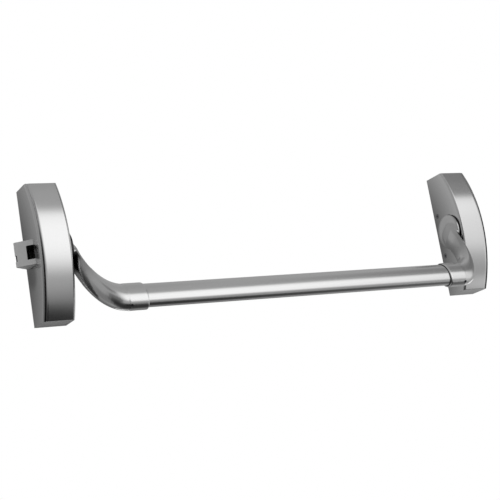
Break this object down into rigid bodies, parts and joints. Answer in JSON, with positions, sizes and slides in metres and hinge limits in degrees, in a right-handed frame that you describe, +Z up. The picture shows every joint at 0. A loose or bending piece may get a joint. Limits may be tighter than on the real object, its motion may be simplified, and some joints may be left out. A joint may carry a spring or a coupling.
{
  "type": "panic exit bar",
  "caption": "Door push bar: an oval tube on two curved arms between bow-fronted cases; pressing it towards the door swings the arms and draws back a bevelled side latch.",
  "frame": {"origin": "middle of the latch case's back face, where it lies on the door, at the middle of its four screw holes", "axes": "+X along the bar from the latch case to the idle case, +Y into the door, +Z up"},
  "size_m": [0.7595, 0.1173, 0.2003],
  "materials": {
    "housing_satin": "satin silver lacquer on a die casting",
    "cover_satin": "satin",
    "arm_cast": "satin silver lacquer on a die casting",
    "tube_satin": "satin, grained along the tube",
    "bolt_sintered": "matte sintered",
    "sleeve_black": "moulded",
    "buffer_rubber": "moulded",
    "bush_bronze": "sintered bronze",
    "chassis_zinc": "as cast",
    "plate_zinc": "zinc plated",
    "screw_black": "blackened",
    "steel": "plain"
  },
  "bodies": {
    "cases": {"latch_base_plate": "plate_zinc", "latch_housing": "housing_satin", "latch_front_cover": "cover_satin", "latch_chassis": "chassis_zinc", "latch_bushes": "bush_bronze", "rocker_pin": "steel", "rocker_clip": "steel", "spring_guides": "steel", "latch_springs": "steel", "housing_screws": "screw_black", "chassis_screws": "steel", "idle_base_plate": "plate_zinc", "idle_housing": "housing_satin", "idle_front_cover": "cover_satin", "idle_chassis": "chassis_zinc", "idle_bushes": "bush_bronze", "stop_buffer": "buffer_rubber", "return_spring": "steel"},
    "push_bar": {"latch_arm": "arm_cast", "idle_arm": "arm_cast", "push_tube": "tube_satin", "latch_sleeve": "sleeve_black", "idle_sleeve": "sleeve_black", "socket_screws": "screw_black", "latch_axle": "steel", "idle_axle": "steel", "axle_clips": "steel", "drive_crank": "chassis_zinc", "crank_pin": "steel", "return_lever": "chassis_zinc", "lever_pin": "steel"},
    "rocker": {"rocker": "chassis_zinc", "drive_pin": "steel"},
    "latch": {"latch_bolt": "bolt_sintered"}
  },
  "joints": [
    {"name": "bar_press", "type": "hinge", "parent": "cases", "child": "push_bar", "pos_m": [0, -0.0345, 0], "axis": [1, 0, 0], "range_deg": [0, 25], "stiffness_Nm_per_rad": 2.5, "springref_deg": -45.84, "deforming": ["return_spring"]},
    {"name": "rocker_turn", "type": "hinge", "parent": "cases", "child": "rocker", "pos_m": [-0.00263, -0.05305, 0], "axis": [0, 1, 0], "range_deg": [0, 53]},
    {"name": "latch_slide", "type": "slide", "parent": "cases", "child": "latch", "axis": [1, 0, 0], "range_m": [0, 0.022], "stiffness_N_per_m": 300, "springref_m": -0.012, "deforming": ["latch_springs"]}
  ],
  "couplings": [
    {"joint": "rocker_turn", "follows": "bar_press", "ratio": 2.12},
    {"joint": "latch_slide", "follows": "bar_press", "m_per_rad": 0.05042}
  ]
}
